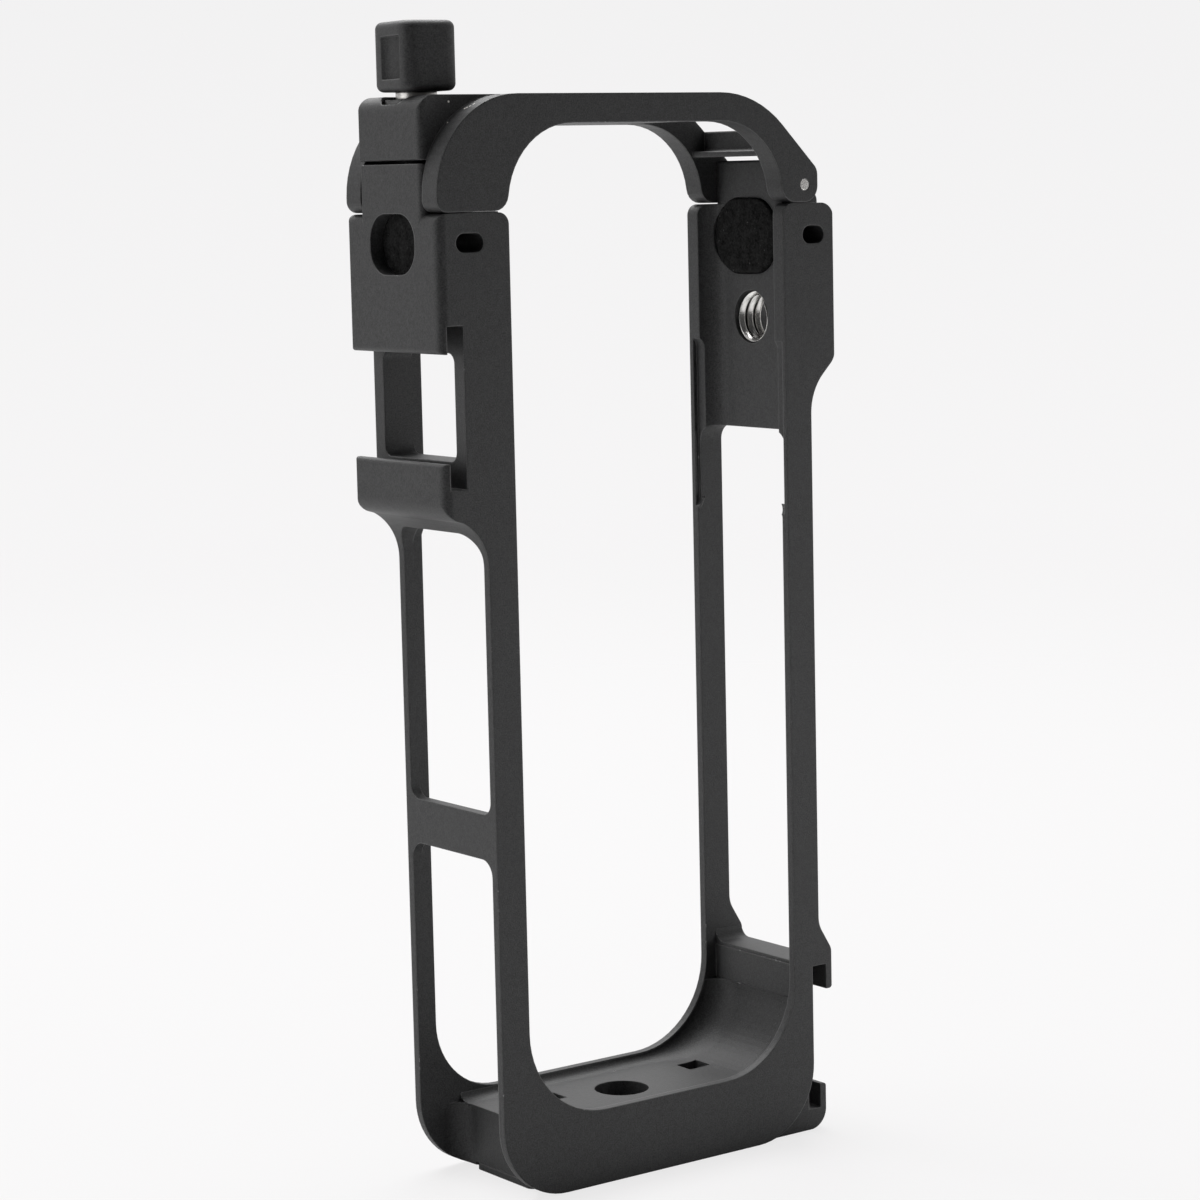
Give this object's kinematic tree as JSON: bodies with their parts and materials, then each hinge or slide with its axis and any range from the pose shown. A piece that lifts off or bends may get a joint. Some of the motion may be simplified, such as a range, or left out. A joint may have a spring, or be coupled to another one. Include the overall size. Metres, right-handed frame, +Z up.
{
  "type": "camera cage",
  "caption": "Upright open frame for a slim camera, with side cold shoes, a threaded boss and a hinged top door clamped by a knob.",
  "frame": {"origin": "centre of the camera-screw hole at the underside of the foot plate", "axes": "+X right, +Y to the back, +Z up; the cage stands on its foot plate and lower plate edges"},
  "size_m": [0.0587, 0.019, 0.1387],
  "materials": {
    "anodised": "fine sandblasted, black anodised",
    "plate": "satin, black anodised",
    "black_steel": "black oxide",
    "felt": "fibrous felt",
    "steel": "turned stainless",
    "pin_steel": "ground stainless",
    "ring_steel": "stamped spring steel"
  },
  "bodies": {
    "frame": {"main_frame": "anodised", "foot_plate": "plate", "foot_screws": "black_steel", "felt_left": "felt", "felt_right": "felt", "boss_insert": "steel", "neck_insert": "steel"},
    "door": {"top_door": "anodised", "hinge_pin": "pin_steel", "thrust_washer": "steel"},
    "ring": {"retaining_ring": "ring_steel"},
    "knob": {"clamp_knob": "anodised", "clamp_screw": "steel"}
  },
  "joints": [
    {"name": "door_hinge", "type": "hinge", "parent": "frame", "child": "door", "pos_m": [0.0239, 0, 0.119], "axis": [0, 1, 0], "range_deg": [0, 92]},
    {"name": "knob_lift", "type": "slide", "parent": "door", "child": "ring", "axis": [0, 0, 1], "range_m": [0, 0.0034]},
    {"name": "knob_turn", "type": "hinge", "parent": "ring", "child": "knob", "pos_m": [-0.0263, 0, 0.1308], "axis": [0, 0, 1], "range_deg": [0, 1749]}
  ],
  "couplings": [
    {"joint": "knob_turn", "follows": "knob_lift", "rad_per_m": 8976}
  ]
}
